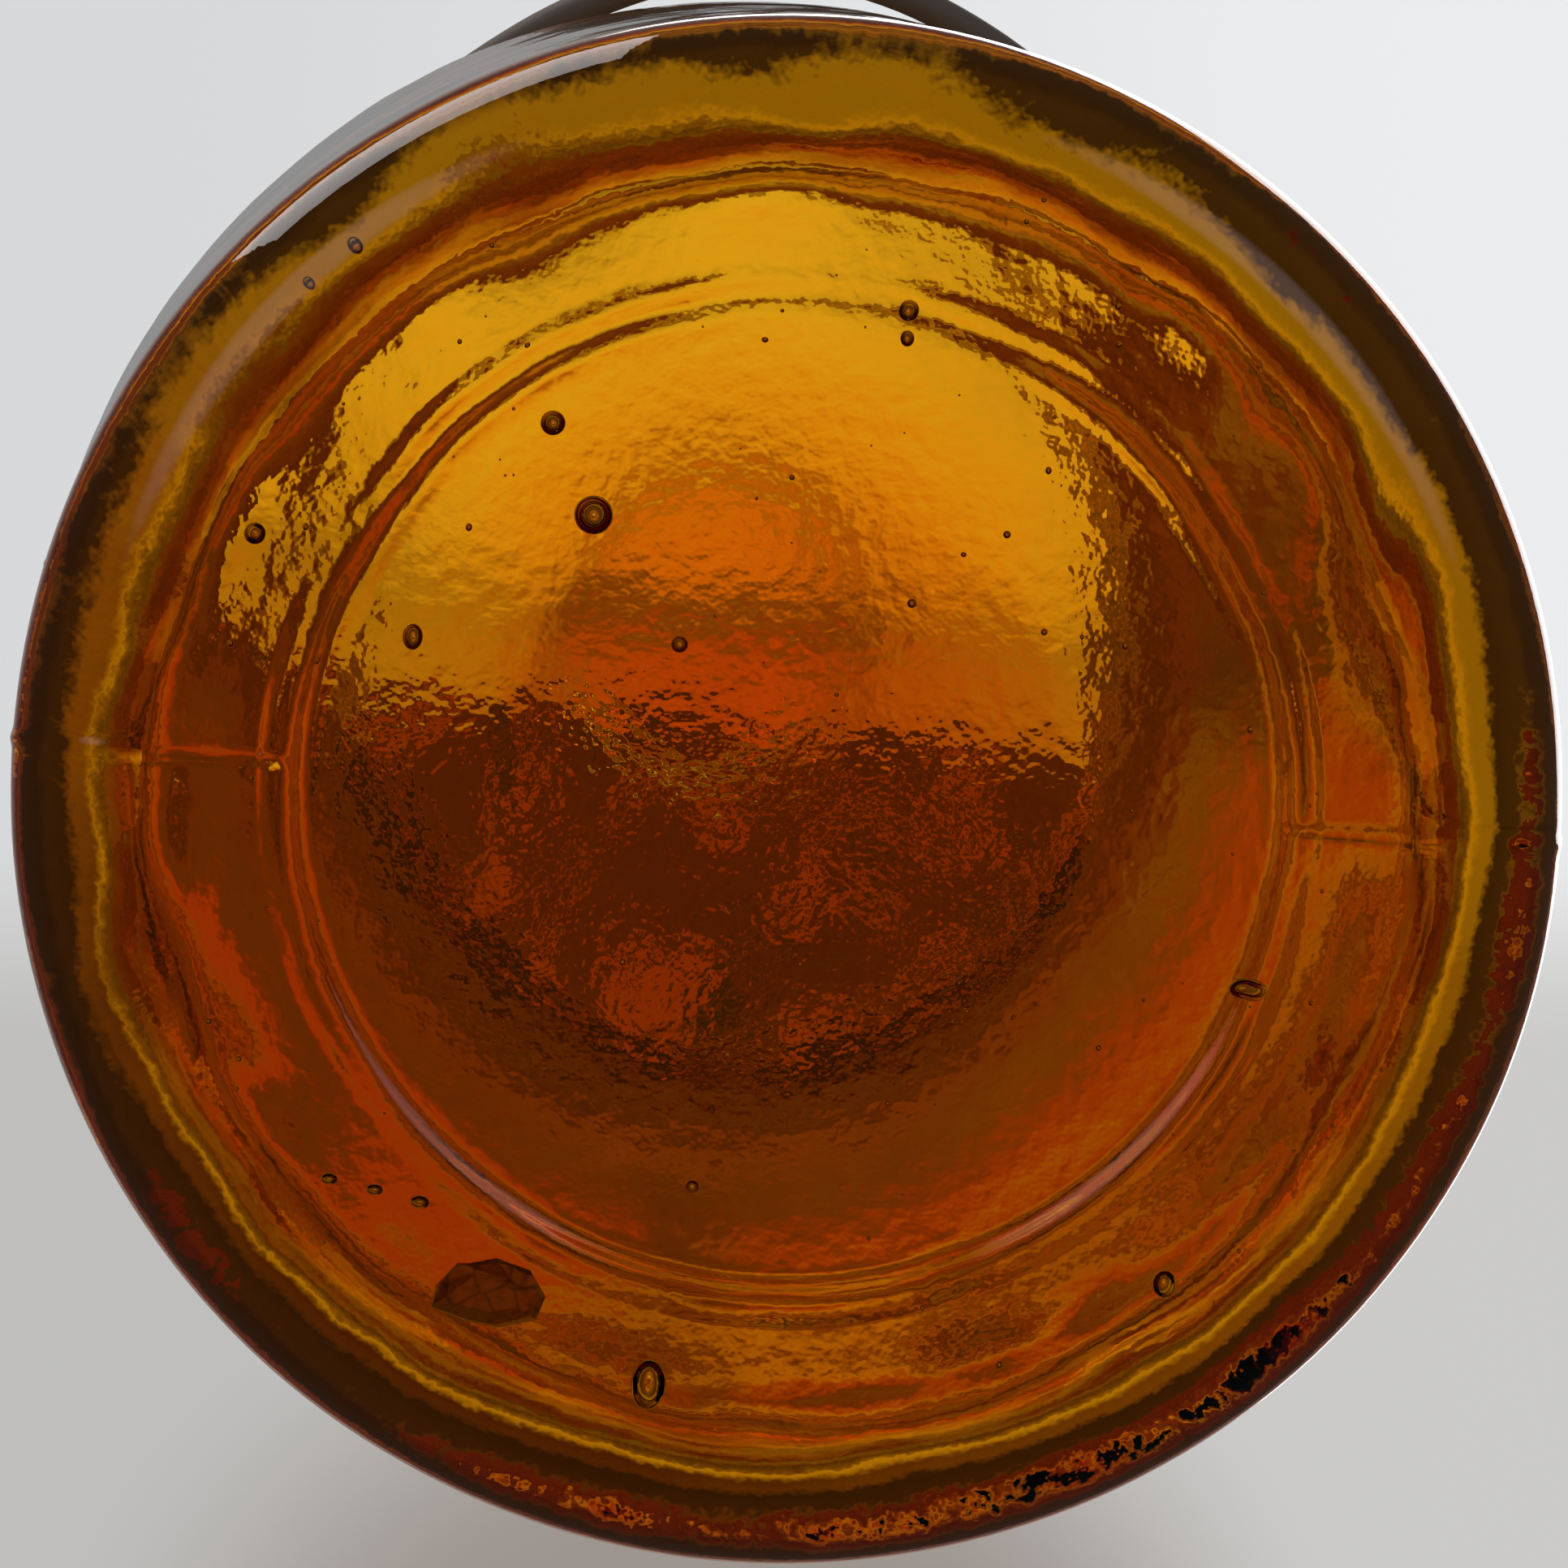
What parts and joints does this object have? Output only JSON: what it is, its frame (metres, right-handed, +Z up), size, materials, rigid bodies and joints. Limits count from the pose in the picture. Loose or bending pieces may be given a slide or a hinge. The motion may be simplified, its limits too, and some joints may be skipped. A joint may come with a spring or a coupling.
{
  "type": "wire-bail fruit jar",
  "caption": "Amber glass fruit jar with a domed glass lid held down on a rubber ring by a hinged wire lever and bail.",
  "frame": {"origin": "centre of the base, on the plane that the jar stands on", "axes": "+Z up from the base to the lid, -Y the front where the lever is, +X and -X the sides with the neck wire's ears"},
  "size_m": [0.1022, 0.105, 0.2116],
  "materials": {
    "amber_glass": "wavy mouth-blown amber glass, smooth and glossy, with bubbles",
    "amber_lid_glass": "pressed glass, a paler amber than the body, glossy outside and dulled underneath",
    "aged_rubber": "dry aged rubber, matte",
    "aged_iron": "dark drawn iron wire with light rust"
  },
  "bodies": {
    "glass_jar": {"jar": "amber_glass", "neck_wire": "aged_iron"},
    "lever": {"lever": "aged_iron"},
    "bail": {"bail": "aged_iron"},
    "lid": {"lid": "amber_lid_glass"},
    "rubber_ring": {"rubber_ring": "aged_rubber"}
  },
  "joints": [
    {"name": "lever_lift", "type": "hinge", "parent": "glass_jar", "child": "lever", "pos_m": [0, 0, 0.17663], "axis": [-1, 0, 0], "range_deg": [0, 135]},
    {"name": "bail_swing", "type": "hinge", "parent": "lever", "child": "bail", "pos_m": [0, -0.00487, 0.16458], "axis": [-1, 0, 0], "range_deg": [-98, 0]},
    {"name": "lid_lift", "type": "slide", "parent": "glass_jar", "child": "lid", "axis": [0, 0, 1], "range_m": [0, 0.0067]},
    {"name": "ring_lift", "type": "slide", "parent": "glass_jar", "child": "rubber_ring", "axis": [0, 0, 1], "range_m": [0, 0.0034]}
  ],
  "couplings": [
    {"joint": "bail_swing", "follows": "lever_lift", "ratio": -0.72},
    {"joint": "lid_lift", "follows": "lever_lift", "m_per_rad": 0.0028},
    {"joint": "ring_lift", "follows": "lever_lift", "m_per_rad": 0.0014}
  ]
}
